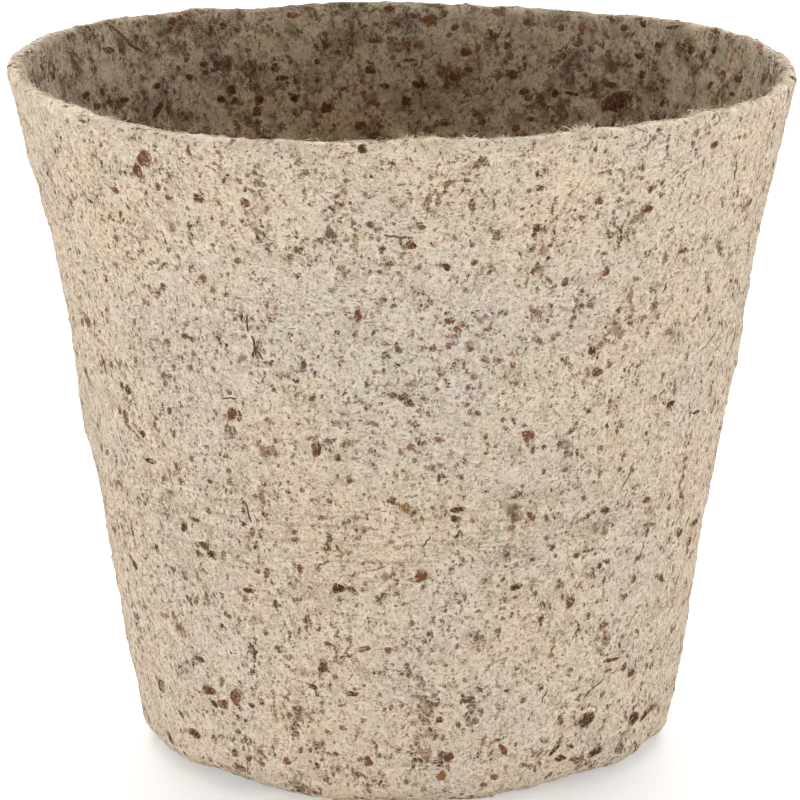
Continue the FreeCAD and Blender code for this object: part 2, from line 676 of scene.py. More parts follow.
# %% Ground of the sheet
felt, tree, shader = new_material("pressed peat fibre", roughness=0.95, shine=0.05)
place = object_place(tree)
bent_place = drifted(tree, place, 420.0, 0.55 * MM)
inside = mark_of(tree, "inside")
cloud = noise(tree, place, 75.0, 2.5, 0.55)
patch = noise(tree, place, 420.0, 3.0, 0.6)
mottle = noise(tree, bent_place, 1500.0, 2.0, 0.6)
grain = noise(tree, bent_place, 3300.0, 2.0, 0.75)

colour = mixed(tree, spread(tree, cloud, 0.36, 0.64), paint(219, 199, 171), paint(210, 196, 178))
pale_here = times(tree, mark_of(tree, "pale_patch"), spread(tree, patch, 0.3, 0.6), 0.7)
colour = mixed(tree, pale_here, colour, paint(213, 209, 200))

# A pattern, the values where its layer starts and is full, how much it then covers, and its colour
ground_layers = [
    (patch, 0.48, 0.72, 0.7, (168, 150, 124)),
    (mottle, 0.48, 0.68, 0.55, (172, 150, 120)),
    (mottle, 0.48, 0.3, 0.45, (238, 224, 202)),
    (grain, 0.48, 0.3, 0.8, (240, 228, 209)),
    (grain, 0.5, 0.7, 0.8, (142, 122, 98)),
]
for pattern, start, full, cover, shade in ground_layers:
    colour = mixed(tree, spread(tree, pattern, start, full, 0.0, cover), colour, paint(*shade))
# Painted highlight: the top of the front lip is paler
painted_lip_highlight = times(tree, mark_of(tree, "painted_lip_highlight"), spread(tree, patch, 0.66, 0.4, 0.35, 0.75))
colour = mixed(tree, painted_lip_highlight, colour, paint(250, 238, 216))
print("ground layers:", len(ground_layers))

# %% [markdown]
# Peat lies in the sheet in all sizes. Most of it is flecks, where a rough noise peaks, a little longer than
# they are wide. Rounder specks from the cell pattern go between them. Both come in clusters, which are
# sharper near the foot. Flecks are commoner on the inside, and soft blots are laid over them there.


# %% Peat flecks and specks
def flecks(tree, place, scale, detail, least, soft, crowd):
    """Ragged bits where a rough cloud pattern peaks, and more of them where the crowd is high."""
    field = maths(tree, "ADD", noise(tree, place, scale, detail, 0.6), crowd)
    return spread(tree, field, least, least + soft)


cluster = spread(tree, noise(tree, place, 330.0, 2.0, 0.6), 0.38, 0.62, 0.4, 1.0)
height = add(tree, "ShaderNodeSeparateXYZ", {0: place}).outputs["Z"]
near_foot = spread(tree, height, 16 * MM, 5 * MM, 1.0, 1.6)
crowd = times(tree, maths(tree, "SUBTRACT", cluster, 0.72), 0.095, near_foot)
crowd = maths(tree, "ADD", crowd, times(tree, inside, 0.035))
fine_share = spread(tree, inside, 0.0, 1.0, 1.0, 0.85)
squeezed = vectors(tree, "MULTIPLY", place, (1.0, 1.0, 0.84))
peat_masks = []

# Scale, detail, the least value, how softly it starts, how much it covers, and two colours
fleck_layers = [
    (2100.0, 1.5, 0.58, 0.12, 0.75, (92, 68, 38), (124, 78, 42)),
    (1150.0, 3.0, 0.595, 0.085, 0.95, (68, 48, 26), (104, 58, 30)),
    (560.0, 3.0, 0.618, 0.075, 0.88, (78, 58, 36), (112, 66, 38)),
    (330.0, 2.5, 0.65, 0.08, 0.72, (82, 62, 40), (116, 70, 44)),
]
for scale, detail, least, soft, cover, first, second in fleck_layers:
    mask = flecks(tree, squeezed, scale, detail, least, soft, crowd)
    tone = spread(tree, noise(tree, place, scale * 0.4, 1.0), 0.4, 0.62)
    peat = mixed(tree, tone, paint(*first), paint(*second))
    colour = mixed(tree, times(tree, mask, fine_share, cover), colour, peat)
    peat_masks.append(mask)

# Scale, size, raggedness, how crowded, how much it covers, and two colours
speck_layers = [
    (1100.0, 0.50, 0.7, 0.55, 0.8, (72, 50, 30), (100, 58, 34)),
    (640.0, 0.44, 0.8, 0.4, 0.65, (78, 56, 34), (108, 64, 40)),
]
for scale, size, ragged, crowding, cover, first, second in speck_layers:
    mask, tone = specks(tree, place, scale, size, ragged, times(tree, cluster, crowding))
    peat = mixed(tree, tone, paint(*first), paint(*second))
    colour = mixed(tree, times(tree, mask, fine_share, cover), colour, peat)
    peat_masks.append(mask)

wide_blots = times(tree, flecks(tree, bent_place, 260.0, 3.0, 0.53, 0.17, crowd), 0.75)
blots = highest(tree, wide_blots, flecks(tree, place, 620.0, 2.5, 0.555, 0.1, crowd))
colour = mixed(tree, times(tree, blots, inside, 0.62), colour, paint(92, 70, 46))
print("peat layers:", len(peat_masks))

# %% [markdown]
# The pulp's finest fibres lie over the peat and veil it, so they come last, with the small shifts of tint
# that all fibre has. Level streaks of painted shade run along the shoulder's faint ridges. The inside then
# gets its own tone, with painted shade towards the mouth, and the strands, patches and grain also give the
# light a little relief to catch.

# %% Veil, tint and tone
tufts = spread(tree, noise(tree, bent_place, 360.0, 3.0, 0.65), 0.5, 0.68, 0.0, 0.5)
colour = mixed(tree, times(tree, tufts, inside), colour, paint(226, 216, 194))
colour = mixed(tree, 0.32, colour, coloured_noise(tree, place, 1300.0, 2.5), "SOFT_LIGHT")

veil_width, veil_length = 0.08, 1.5
veil_leans = (-74, -46, -16, 18, 50, 77)
slanting = strands(tree, bent_place, veil_leans, veil_width, veil_length, 0.66, 0.8)
veil = highest(tree, slanting, level_strands(tree, bent_place, veil_width, veil_length, 0.66, 0.8))
veil_share = spread(tree, inside, 0.0, 1.0, 0.7, 0.3)
off_peat = spread(tree, highest(tree, *peat_masks), 0.0, 1.0, 1.0, 0.5)
colour = mixed(tree, times(tree, veil, veil_share, off_peat), colour, paint(236, 222, 202))

# Painted shade: darker level streaks along the shoulder's faint ridges, near 28 mm high
from_shoulder = maths(tree, "ABSOLUTE", maths(tree, "SUBTRACT", height, 28 * MM))
painted_shoulder_shade = strands(tree, bent_place, (88,), 0.5, 9.0, 0.5, 0.66)
broken = spread(tree, noise(tree, place, 210.0), 0.38, 0.6)
shoulder_shade_here = spread(tree, from_shoulder, 7 * MM, 2 * MM, 0.0, 0.28)
colour = mixed(tree, times(tree, painted_shoulder_shade, broken, shoulder_shade_here), colour, paint(132, 108, 80))

lighter = mixed(tree, 1.0, colour, (1.17, 1.155, 1.11, 1), "MULTIPLY")
# Painted shade: the inside colour darkened towards the mouth
painted_mouth_shade = mixed(tree, 1.0, lighter, (0.63, 0.62, 0.61, 1), "MULTIPLY")
inside_colour = mixed(tree, mark_of(tree, "painted_mouth_shade"), lighter, painted_mouth_shade)
wire(tree, shader, {"Base Color": mixed(tree, inside, colour, inside_colour)})
relief = maths(tree, "ADD", times(tree, veil, 0.5), times(tree, patch, 2.0))
add_bump(tree, shader, maths(tree, "SUBTRACT", relief, times(tree, grain, 0.7)), depth=0.12)

pot_shell.data.materials.clear()
pot_shell.data.materials.append(felt)
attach(pot_shell, "root")
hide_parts("pressed_shell")
print("felt material:", len(tree.nodes), "nodes")

# %% [markdown]
# Bark bits are the largest thing in the sheet. A bit starts as a ball of 20, 80 or 320 faces, by its size,
# and is made flat and ragged. It is turned so that its flat side follows the wall. A handful of such shapes
# is enough, because each copy has its own size, turn and tone.


# %% Shapes of bark bits
def bark_shapes(how_many, roundness, raggedness):
    """Corner places and faces of a few lumpy balls that reach 1 in every direction."""
    shapes = []
    for number in range(how_many):
        bpy.ops.object.select_all(action="DESELECT")
        bpy.ops.mesh.primitive_ico_sphere_add(subdivisions=roundness, radius=1.0)
        ball = bpy.context.object
        bpy.ops.object.mode_set(mode="EDIT")
        bpy.ops.mesh.select_all(action="SELECT")
        bpy.ops.transform.vertex_random(offset=raggedness, uniform=0.6, normal=0.3, seed=number)
        bpy.ops.mesh.vertices_smooth(factor=0.5, repeat=roundness)
        bpy.ops.object.mode_set(mode="OBJECT")
        corners = places_of(ball)
        way = np.arctan2(corners[:, 1], corners[:, 0])
        first, second, third = np.random.default_rng(number).uniform(0, 2 * math.pi, 3)
        outline = 1 + 0.15 * np.sin(2 * way + first) + 0.1 * np.sin(3 * way + second)
        outline += 0.03 * np.sin(5 * way + third)
        corners[:, :2] *= outline[:, None]
        corners /= np.abs(corners).max(0)
        shapes.append((corners, [tuple(face.vertices) for face in ball.data.polygons]))
        bpy.data.objects.remove(ball)
    return shapes


crumb_shapes = bark_shapes(6, 1, 0.5)
chip_shapes = bark_shapes(8, 2, 0.38)
large_chip_shapes = bark_shapes(6, 3, 0.35)
print("faces of a bit:", [len(shapes[0][1]) for shapes in (crumb_shapes, chip_shapes, large_chip_shapes)])

# %% [markdown]
# Bits and fibres have to lie on the finished surface, dents and lumps included. So each random spot is drawn
# from the shell's own faces, by area, and a search tree of those faces finds the nearest point of the surface
# to any place. Which way a face looks tells the zones apart: outside, inside, floors and lip.

# %% Places on the shell
lip_depth = 1.2 * MM
# A spot lies up to this far from the middle of its face, in millimetres
spot_shift = 0.3


def face_values(title, width):
    """One property of every face of the shell, in rows of this width."""
    values = np.empty(len(pot_shell.data.polygons) * width)
    pot_shell.data.polygons.foreach_get(title, values)
    return values.reshape(-1, width)


face_middles, face_normals = face_values("center", 3), face_values("normal", 3)
face_areas = face_values("area", 1).ravel()
shell_corners = [tuple(v.co) for v in pot_shell.data.vertices]
shell_search = BVHTree.FromPolygons(shell_corners, [tuple(f.vertices) for f in pot_shell.data.polygons])

face_sides = np.maximum(np.hypot(face_middles[:, 0], face_middles[:, 1]), MM)
face_outward = (face_normals[:, :2] * face_middles[:, :2]).sum(1) / face_sides
facing_out, facing_in = face_outward > 0.3, face_outward < -0.3
on_floors = ~facing_out & ~facing_in
on_lip = face_middles[:, 2] > pot_height - lip_depth


def random_spots(draw, zone, count):
    """Places spread evenly over the faces of a zone."""
    indices = np.flatnonzero(zone)
    chosen = draw.choice(indices, size=count, p=face_areas[indices] / face_areas[indices].sum())
    shift = draw.uniform(-spot_shift, spot_shift, (count, 3)) * MM
    return [Vector(face_middles[i] + s) for i, s in zip(chosen, shift)]


print("shell area in square cm:", round(float(face_areas.sum()) * 1e4, 1))

# %% [markdown]
# The press drives each bit into the wet sheet, so a little over half of its thickness is sunk. Thousands of
# separate objects would be slow, so a heap collects the corners and faces of many bits and makes one mesh of
# them. Each corner stores three marks that the bark material reads: the bit's tone, how near the rim the
# corner is, and how far the pulp's fibres veil the bit. The smaller a bit is, the more they do.

# %% Set bark bits in the sheet
BARK_DARK, BARK_BROWN, BARK_RED, BARK_ORANGE = 0.08, 0.38, 0.66, 0.92
# How far a bit's middle lies under the surface, as a share of its thickness
sunk_share = 0.12
# Bits up to the first size have the full veil, and bits from the second have none
veiled_size, clear_size = 0.3 * MM, 1.1 * MM


def dress(piece, material):
    """Keeps a finished piece above the ground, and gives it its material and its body."""
    keep_above_ground(piece)
    piece.data.materials.clear()
    piece.data.materials.append(material)
    work_on(piece)
    bpy.ops.object.shade_smooth()
    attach(piece, "root")
    print(piece.name, "has", len(piece.data.polygons), "faces")


class BitHeap:
    """Collects the corners, faces and marks of many bits, and makes one piece of them."""

    def __init__(self):
        self.corners, self.faces, self.marks, self.start = [], [], [], 0

    def set_bit(self, shape, place, normal, width, height, thick, turn, tone):
        """One bit, flat on the wall, with its height along the wall's slope before it is turned."""
        points, faces = shape
        across = Vector((0, 0, 1)).cross(normal)
        across = across.normalized() if across.length > 0.01 else Vector((1, 0, 0))
        frame_turn = Matrix((across, normal.cross(across), normal)).transposed()
        spin = Matrix.Rotation(turn, 3, "Z")
        size = Matrix.Diagonal((width / 2, height / 2, thick / 2))
        corners = np.array(frame_turn @ spin @ size) @ points.T
        self.corners.append(corners.T + np.array(place - normal * sunk_share * thick))
        self.faces += [tuple(self.start + i for i in face) for face in faces]
        rim = np.hypot(points[:, 0], points[:, 1])
        veil = np.interp(math.sqrt(width * height), (veiled_size, clear_size), (1, 0))
        self.marks.append(np.broadcast_arrays(tone, rim, veil))
        self.start += len(points)

    def finish(self, title, material):
        """The piece with its three marks."""
        mesh = bpy.data.meshes.new(title)
        mesh.from_pydata(np.vstack(self.corners).tolist(), [], self.faces)
        piece = bpy.data.objects.new(title, mesh)
        bpy.context.scene.collection.objects.link(piece)
        for mark, values in zip(("tone", "rim", "veil"), np.hstack(self.marks)):
            add_mark(piece, mark, values)
        dress(piece, material)


# %% [markdown]
# Bark runs from near black through brown and red-brown to tan, and no bit has one colour all over. A colour
# ramp turns the stored tone into such colours, and a grain pattern shifts the tone within the bit. Near its
# rim a bit gets painted shade, where it sinks into the pulp, and then pulp creeps over it. So a bit looks
# pressed in and not laid on.


# %% Bark material
def ruffled(tree, value, pattern, reach):
    """A value that a pattern pushes up and down, by up to the reach."""
    return maths(tree, "ADD", value, spread(tree, pattern, 0.3, 0.7, -reach, reach))


bark, tree, shader = new_material("bark and peat", roughness=0.85, shine=0.08)
place = object_place(tree)
bent_place = drifted(tree, place, 900.0, 0.3 * MM)
grain = noise(tree, bent_place, 2200.0, 3.0, 0.65)
rim, veil = mark_of(tree, "rim"), mark_of(tree, "veil")

ramp = add(tree, "ShaderNodeValToRGB", {0: ruffled(tree, mark_of(tree, "tone"), grain, 0.3)})
stops = [
    (0.0, (74, 50, 36)),
    (0.22, (92, 64, 44)),
    (0.45, (108, 74, 50)),
    (0.72, (122, 72, 48)),
    (1.0, (158, 106, 70)),
]
while len(ramp.color_ramp.elements) < len(stops):
    ramp.color_ramp.elements.new(0.5)
for element, (position, shade) in zip(ramp.color_ramp.elements, stops):
    element.position = position
    element.color = paint(*shade)

# Painted shade round a bit's rim, where it sinks into the sheet
painted_rim_shade = spread(tree, ruffled(tree, rim, grain, 0.2), 0.45, 0.85, 0.0, 0.5)
colour = mixed(tree, painted_rim_shade, ramp.outputs[0], paint(74, 50, 35))
over = strands(tree, bent_place, (-50, 5, 55), 0.07, 1.4, 0.7, 0.82)
colour = mixed(tree, times(tree, over, 0.6), colour, paint(200, 178, 150))
fluff = noise(tree, place, 3200.0, 2.0, 0.7)
covered = maths(tree, "ADD", ruffled(tree, rim, fluff, 0.3), times(tree, veil, 0.5))
colour = mixed(tree, spread(tree, covered, 0.62, 1.15, 0.0, 0.9), colour, paint(194, 172, 142))
colour = mixed(tree, times(tree, veil, 0.45), colour, paint(188, 164, 132))
wire(tree, shader, {"Base Color": colour})
add_bump(tree, shader, maths(tree, "ADD", grain, over), depth=0.08)
print("bark material:", len(tree.nodes), "nodes")

# %% [markdown]
# The larger bits are landmarks, which anyone who holds the pot beside the picture looks for. So each has a
# row of its own, read off the picture, under one of four tones from near black to orange.

# %% Bark bits that the picture shows
# The pixel at the middle, the width and height in pixels, and the lean in degrees if the bit has one
chips_by_tone = {
    BARK_DARK: [
        (362, 149, 10, 9), (197, 198, 9, 10, 20), (163, 287, 5, 9, 10), (226, 295, 8, 6),
        (191, 243, 4, 8, 15), (297, 250, 8, 8), (537, 228, 9, 10), (540, 188, 10, 7, 10), (405, 247, 5, 8),
        (634, 232, 6, 9), (565, 282, 8, 10), (185, 336, 8, 6), (128, 390, 5, 11, -8), (122, 386, 3, 9, -8),
        (239, 416, 6, 12), (281, 377, 4, 9), (284, 390, 3, 8), (150, 461, 10, 6), (143, 434, 5, 8, -20),
        (174, 434, 3, 11, -18), (184, 527, 5, 10), (196, 520, 9, 5), (393, 395, 9, 7), (400, 398, 7, 9),
        (491, 351, 4, 7), (464, 366, 4, 10), (349, 443, 4, 8), (401, 452, 5, 8), (371, 451, 6, 6),
        (354, 459, 9, 4), (456, 510, 17, 7, 5), (455, 519, 11, 8), (345, 523, 8, 5), (592, 351, 10, 10, -20),
        (601, 344, 6, 6), (630, 323, 6, 7), (670, 404, 10, 8, 20), (571, 431, 8, 6, 20), (617, 431, 4, 8),
        (571, 454, 5, 8), (696, 412, 7, 5), (211, 554, 8, 8), (135, 564, 4, 11, -14), (247, 590, 13, 6),
        (276, 604, 7, 9), (196, 601, 4, 10, -20), (215, 704, 6, 9), (252, 705, 8, 7), (195, 734, 9, 10),
        (170, 737, 8, 8, -30), (235, 753, 6, 9, -20), (328, 732, 9, 4, -25), (335, 754, 9, 6),
        (338, 769, 6, 8), (301, 750, 5, 10, -15), (485, 580, 9, 5), (338, 588, 14, 11), (516, 587, 13, 7),
        (515, 597, 9, 5), (352, 694, 14, 6), (439, 720, 9, 8), (458, 725, 6, 9), (376, 747, 5, 8),
        (418, 760, 11, 6), (484, 785, 7, 5), (522, 765, 9, 5), (648, 525, 9, 5), (680, 533, 4, 8),
        (558, 587, 5, 7), (588, 616, 4, 9, 10), (624, 667, 5, 9, 5), (646, 713, 8, 8, 20),
        (633, 718, 9, 14, 10), (586, 720, 13, 15, 10), (576, 724, 6, 6), (554, 750, 12, 6, 40),
        (560, 758, 11, 7), (595, 752, 10, 10), (470, 635, 7, 6), (124, 100, 12, 7), (231, 90, 9, 12),
        (234, 101, 10, 8), (259, 100, 10, 10), (158, 110, 18, 8, 38), (86, 95, 9, 8), (108, 50, 14, 8, -15),
        (204, 64, 10, 7), (157, 86, 9, 7), (189, 77, 9, 7), (172, 22, 9, 11), (223, 26, 9, 9),
        (237, 30, 9, 6), (390, 8, 14, 8), (375, 24, 7, 6), (410, 60, 14, 4), (406, 101, 10, 10),
        (362, 124, 10, 7), (420, 85, 20, 10), (385, 86, 10, 7), (445, 124, 10, 6), (524, 92, 12, 7),
        (527, 22, 8, 8), (618, 101, 30, 22, 28), (573, 94, 30, 4, -5), (659, 45, 9, 7), (674, 27, 13, 6, 15),
        (717, 33, 10, 6), (691, 50, 9, 11), (642, 75, 6, 9), (732, 94, 9, 5), (449, 35, 10, 5, 10),
        (288, 57, 10, 4, -35), (82, 121, 6, 5), (98, 24, 8, 3, 10), (126, 17, 8, 3, 5), (641, 19, 9, 4),
    ],
    BARK_BROWN: [
        (133, 138, 7, 5, 10), (599, 201, 10, 9), (411, 245, 11, 10), (370, 225, 9, 8), (247, 175, 6, 6),
        (137, 170, 8, 15, -20), (390, 264, 12, 6), (494, 205, 4, 13), (648, 209, 9, 9), (714, 145, 7, 8),
        (683, 251, 8, 6), (749, 203, 5, 9), (213, 290, 5, 9), (290, 257, 8, 7), (488, 329, 11, 5, 10),
        (434, 348, 6, 8), (386, 344, 10, 4, -10), (516, 383, 6, 7), (505, 377, 5, 6), (553, 338, 6, 8),
        (597, 372, 10, 11, 20), (405, 396, 8, 9), (409, 403, 12, 8, -20), (565, 470, 8, 6, 25),
        (646, 500, 7, 8), (605, 510, 9, 9), (302, 490, 6, 6), (422, 519, 5, 7), (255, 351, 5, 20, -28),
        (200, 659, 11, 7), (208, 690, 11, 10), (323, 667, 10, 15), (409, 673, 7, 10), (366, 648, 10, 6),
        (498, 631, 9, 7, 20), (570, 602, 8, 12, 25), (608, 670, 8, 5), (611, 660, 16, 4), (631, 673, 6, 9),
        (560, 722, 8, 9), (448, 757, 11, 10, 20), (533, 755, 11, 4, 42), (262, 764, 7, 7), (391, 707, 5, 10),
        (352, 590, 14, 7, -32), (365, 584, 6, 6), (161, 686, 5, 14, -18), (445, 665, 7, 5), (586, 551, 8, 5),
        (343, 728, 9, 6, -15), (317, 451, 9, 17), (694, 523, 6, 8), (455, 76, 14, 13), (512, 74, 12, 10),
        (370, 70, 11, 8, -20), (374, 40, 14, 8), (466, 52, 11, 9), (508, 46, 9, 8), (578, 44, 12, 7),
        (561, 28, 8, 8), (563, 56, 10, 7), (531, 119, 12, 5), (430, 20, 17, 13), (415, 15, 11, 7),
        (282, 78, 15, 6), (326, 108, 14, 12), (608, 84, 18, 7), (655, 118, 13, 7), (478, 115, 13, 5),
        (376, 134, 13, 5), (738, 79, 9, 9), (777, 64, 7, 7), (81, 27, 8, 6, 10), (455, 27, 10, 7, 15),
        (336, 12, 8, 6), (96, 107, 10, 8),
    ],
    BARK_RED: [
        (144, 159, 12, 20, -12), (158, 187, 5, 11), (245, 203, 11, 11), (115, 190, 8, 8), (231, 310, 10, 4),
        (205, 300, 4, 8), (358, 316, 8, 13), (351, 319, 6, 6), (450, 321, 12, 8, 10), (457, 329, 8, 8),
        (518, 286, 7, 5), (642, 178, 5, 5), (606, 272, 9, 10), (660, 121, 8, 4), (190, 368, 5, 8, -35),
        (232, 414, 11, 12), (209, 511, 6, 7), (229, 471, 5, 9, -20), (231, 484, 8, 4), (513, 365, 7, 9),
        (468, 347, 8, 4), (495, 360, 5, 7), (409, 385, 11, 4), (528, 436, 13, 12, 20), (531, 516, 7, 12, 40),
        (300, 569, 7, 11), (236, 697, 9, 17), (223, 704, 10, 10), (289, 715, 8, 7), (287, 761, 9, 8),
        (391, 542, 8, 5), (364, 530, 6, 8), (421, 576, 13, 13), (484, 533, 6, 6), (362, 590, 6, 5),
        (388, 650, 9, 8), (360, 759, 7, 6), (368, 761, 9, 12), (471, 722, 6, 7), (335, 677, 6, 6),
        (503, 749, 7, 15, 28), (593, 512, 6, 7, 30), (583, 519, 7, 5), (651, 708, 9, 8),
        (574, 759, 12, 5, -12), (594, 577, 5, 4), (689, 541, 4, 10), (604, 625, 8, 7), (407, 44, 10, 7),
        (391, 39, 12, 5, -22), (256, 112, 8, 10), (582, 27, 8, 10), (593, 31, 8, 7), (688, 41, 8, 7),
        (170, 110, 5, 20), (223, 38, 6, 6), (516, 128, 8, 8), (293, 15, 14, 7),
    ],
    BARK_ORANGE: [
        (344, 191, 7, 8), (392, 200, 7, 7), (466, 167, 6, 4), (746, 218, 4, 7), (637, 279, 7, 5),
        (411, 447, 9, 7, 15), (405, 508, 9, 9, 20), (511, 528, 9, 7), (474, 377, 8, 7), (407, 478, 5, 6),
        (412, 623, 8, 7, 10), (441, 776, 10, 12, -20), (494, 777, 10, 7), (384, 786, 8, 5), (579, 761, 9, 5),
        (551, 655, 6, 6), (430, 608, 4, 6), (760, 49, 10, 7, -20),
    ],
}
print("bark bits in the picture:", sum(len(rows) for rows in chips_by_tone.values()))

# %% [markdown]
# A pixel is a direction from the camera. A ray in that direction meets the shell at the bit's place, and the
# distance turns pixels into metres. Near the left and right edges the wall is seen at a slant, so a bit there
# is made wider than it looks. Up to two small dark bits lie round each one, as if they had broken off it.

# %% Set the bits that the picture shows
chip_thickness_share = 0.42
least_chip_thickness = 0.24 * MM
large_chip_size = 0.8 * MM
# Pulp hides a chip's rim, so it is made larger than it shows by this factor
chip_growth = 1.18
# At least this share of a bit's width is taken to show, however slanting the view
least_share_seen = 0.35
# The bits inside are redder, so their tone goes up by this
inside_warmth = 0.16


def spot_seen_at(pixel_x, pixel_y):
    """Where a pixel's ray first meets the shell: the place, the normal and the size of a pixel there."""
    place, normal, _, distance = shell_search.ray_cast(camera.location, ray_through(pixel_x, pixel_y))
    return place, normal, (distance or 0) / lens_in_pixels


def set_satellites(heap, draw, place, reach, count):
    """Small dark bits round a chip."""
    for _ in range(count):
        away = draw.normal(0, 1, 3)
        near = place + Vector(away / np.linalg.norm(away)) * reach * draw.uniform(0.9, 1.9)
        on_wall, normal, _, _ = shell_search.find_nearest(near)
        width, height = draw.uniform(0.14, 0.3, 2) * MM
        shape = crumb_shapes[draw.integers(len(crumb_shapes))]
        tone = draw.choice([BARK_DARK, BARK_BROWN], p=[0.6, 0.4])
        heap.set_bit(shape, on_wall, normal, width, height, 0.7 * width, draw.uniform(0, math.pi), tone)


def set_chip(heap, draw, tone, pixel_x, pixel_y, wide, tall, lean=0):
    """Sets the chip of one row, with its satellites, and says where it is."""
    place, normal, pixel_size = spot_seen_at(pixel_x, pixel_y)
    share_seen = max(least_share_seen, abs(normal.dot(ray_through(pixel_x, pixel_y))))
    width, height = wide * pixel_size, tall * pixel_size
    width = width / share_seen if abs(normal.x) > 0.5 else width
    thick = max(least_chip_thickness, chip_thickness_share * min(width, height))
    shapes = large_chip_shapes if min(width, height) > large_chip_size else chip_shapes
    shape = shapes[draw.integers(len(shapes))]
    tone += inside_warmth if place.y > 0 else 0
    sizes = (width * chip_growth, height * chip_growth, thick)
    heap.set_bit(shape, place, normal, *sizes, math.radians(lean), tone)
    set_satellites(heap, draw, place, max(width, height) / 2, int(draw.integers(0, 3)))
    return place


seen_chips = BitHeap()
draw = np.random.default_rng(11)
chip_places = [set_chip(seen_chips, draw, tone, *row) for tone, rows in chips_by_tone.items() for row in rows]
seen_chips.finish("bark_chips_seen", bark)

# %% [markdown]
# Between those lie crumbs that are too small and too many to place by hand, on every side of the pot. They
# are drawn at random over each zone, with a fixed seed so that every run gives the same pot. Small ones are
# much commoner than large ones, as in any crushed bark, and the inside has the largest.


# %% Bark crumbs all over the sheet
def scatter_crumbs(title, zone, count, seed, smallest=0.26, largest=0.95):
    """Many small bits over a zone, most of them near the smallest size. Sizes are in millimetres."""
    draw = np.random.default_rng(seed)
    heap = BitHeap()
    for place in random_spots(draw, zone, count):
        on_wall, normal, _, _ = shell_search.find_nearest(place)
        size = (smallest + (largest - smallest) * draw.power(0.28)) * MM
        width, height = size * draw.uniform(0.7, 1.1), size * draw.uniform(0.7, 1.4)
        shapes = crumb_shapes if size < 0.6 * MM else chip_shapes
        shape = shapes[draw.integers(len(crumb_shapes))]
        tone = draw.choice([BARK_DARK, BARK_BROWN, BARK_RED, BARK_ORANGE], p=[0.5, 0.36, 0.11, 0.03])
        thick = draw.uniform(0.4, 0.7) * width
        heap.set_bit(shape, on_wall, normal, width, height, thick, draw.uniform(0, math.pi), tone)
    heap.finish(title, bark)


scatter_crumbs("bark_crumbs_outside", facing_out, 1700, 21)
scatter_crumbs("bark_crumbs_inside", facing_in, 1500, 22, 0.3, 1.3)
scatter_crumbs("bark_crumbs_floors", on_floors | on_lip, 700, 23)

# %% [markdown]
# Loose fibres are what makes the sheet look felted. Hair particles would be quick, but the shared part needs
# real meshes, so each fibre is a thin line of curve points with a round bevel, and a piece of thousands of
# them is made a mesh at the end. Most are cream outside and brownish inside. The lip's are palest.


# %% Fibre material and fibre curves
def fibre_material(title, pale, dark):
    """Wood fibre: one colour that drifts along the sheet."""
    material, tree, shader = new_material(title, roughness=0.7, shine=0.2)
    drift = spread(tree, noise(tree, object_place(tree), 900.0, 1.0), 0.4, 0.62)
    wire(tree, shader, {"Base Color": mixed(tree, drift, paint(*pale), paint(*dark))})
    return material


def new_curve(title, roundness):
    """An empty curve with a round bevel. The radius at a point is the line's radius there, in metres."""
    curve = bpy.data.curves.new(title, "CURVE")
    curve.dimensions = "3D"
    curve.resolution_u = 5
    curve.bevel_depth = 1.0
    curve.bevel_resolution = roundness
    curve.use_fill_caps = True
    return curve


def finish_curve(title, curve, material):
    """Makes the curve a finished mesh."""
    piece = bpy.data.objects.new(title, curve)
    bpy.context.scene.collection.objects.link(piece)
    work_on(piece)
    bpy.ops.object.convert(target="MESH")
    dress(bpy.context.object, material)


cream = fibre_material("cream fibre", (234, 221, 201), (208, 192, 170))
brown = fibre_material("brownish fibre", (206, 190, 166), (178, 160, 136))
pale = fibre_material("pale lip fibre", (246, 234, 212), (224, 208, 184))
grey = fibre_material("grey-brown fibre", (168, 146, 120), (124, 100, 76))
print("fibre materials:", [material.name for material in (cream, brown, pale, grey)])

# %% [markdown]
# A fibre follows the sheet. It starts somewhere, walks a few steps in a slowly turning direction, and is set
# on the surface at every step. Most arch a little between their ends, and some end loose in the air.


# %% Lay loose fibres
def lay_fibres(
    title, spots, seed, length, thick, lift, curl, material, steps=4, most_lean=math.pi / 2, loose_end=False
):
    """One piece with a fibre at each spot. Sizes are in millimetres, as (least, most).

    The lean is a fibre's angle from the level line round the pot. A loose end stands off the sheet.
    """
    draw = np.random.default_rng(seed)
    curve = new_curve(title, 0)
    ends_thinner = [0.6] + [1] * (steps - 1) + [0.6]
    for place in spots:
        turn = draw.uniform(-most_lean, most_lean) + math.pi * draw.integers(2)
        bend = draw.normal(0, curl)
        step = draw.uniform(*length) * MM / steps
        radius = draw.uniform(*thick) * MM / 2
        height = draw.uniform(*lift) * MM
        rows = []
        here = place
        for number in range(steps + 1):
            on_wall, normal, _, _ = shell_search.find_nearest(here)
            arch = 2 * number / steps if loose_end else 0.4 + math.sin(math.pi * number / steps)
            rows.append((*(on_wall + normal * (height * arch)), 1))
            side = Vector((-on_wall.y, on_wall.x, 0)).normalized()
            ahead = side * math.cos(turn) + normal.cross(side) * math.sin(turn)
            turn += bend + draw.normal(0, curl / 2)
            here = on_wall + ahead * step
        spline = curve.splines.new("POLY")
        spline.points.add(steps)
        spline.points.foreach_set("co", np.array(rows, np.float32).ravel())
        spline.points.foreach_set("radius", [radius * share for share in ends_thinner])
    finish_curve(title, curve, material)


# %% [markdown]
# The wall has three zones, because one piece for all of it would have too many faces. Low down the fibres
# are longer. The lip has the most kinds of fibre, because the sheet ends there and its torn edge shows:
# fuzz, short hairs that stand off, long strands, and grey straws that run along it. The grey straws are
# also dark lines of painted shade, where shade falls between the strands. Some fibres also cross the chips.

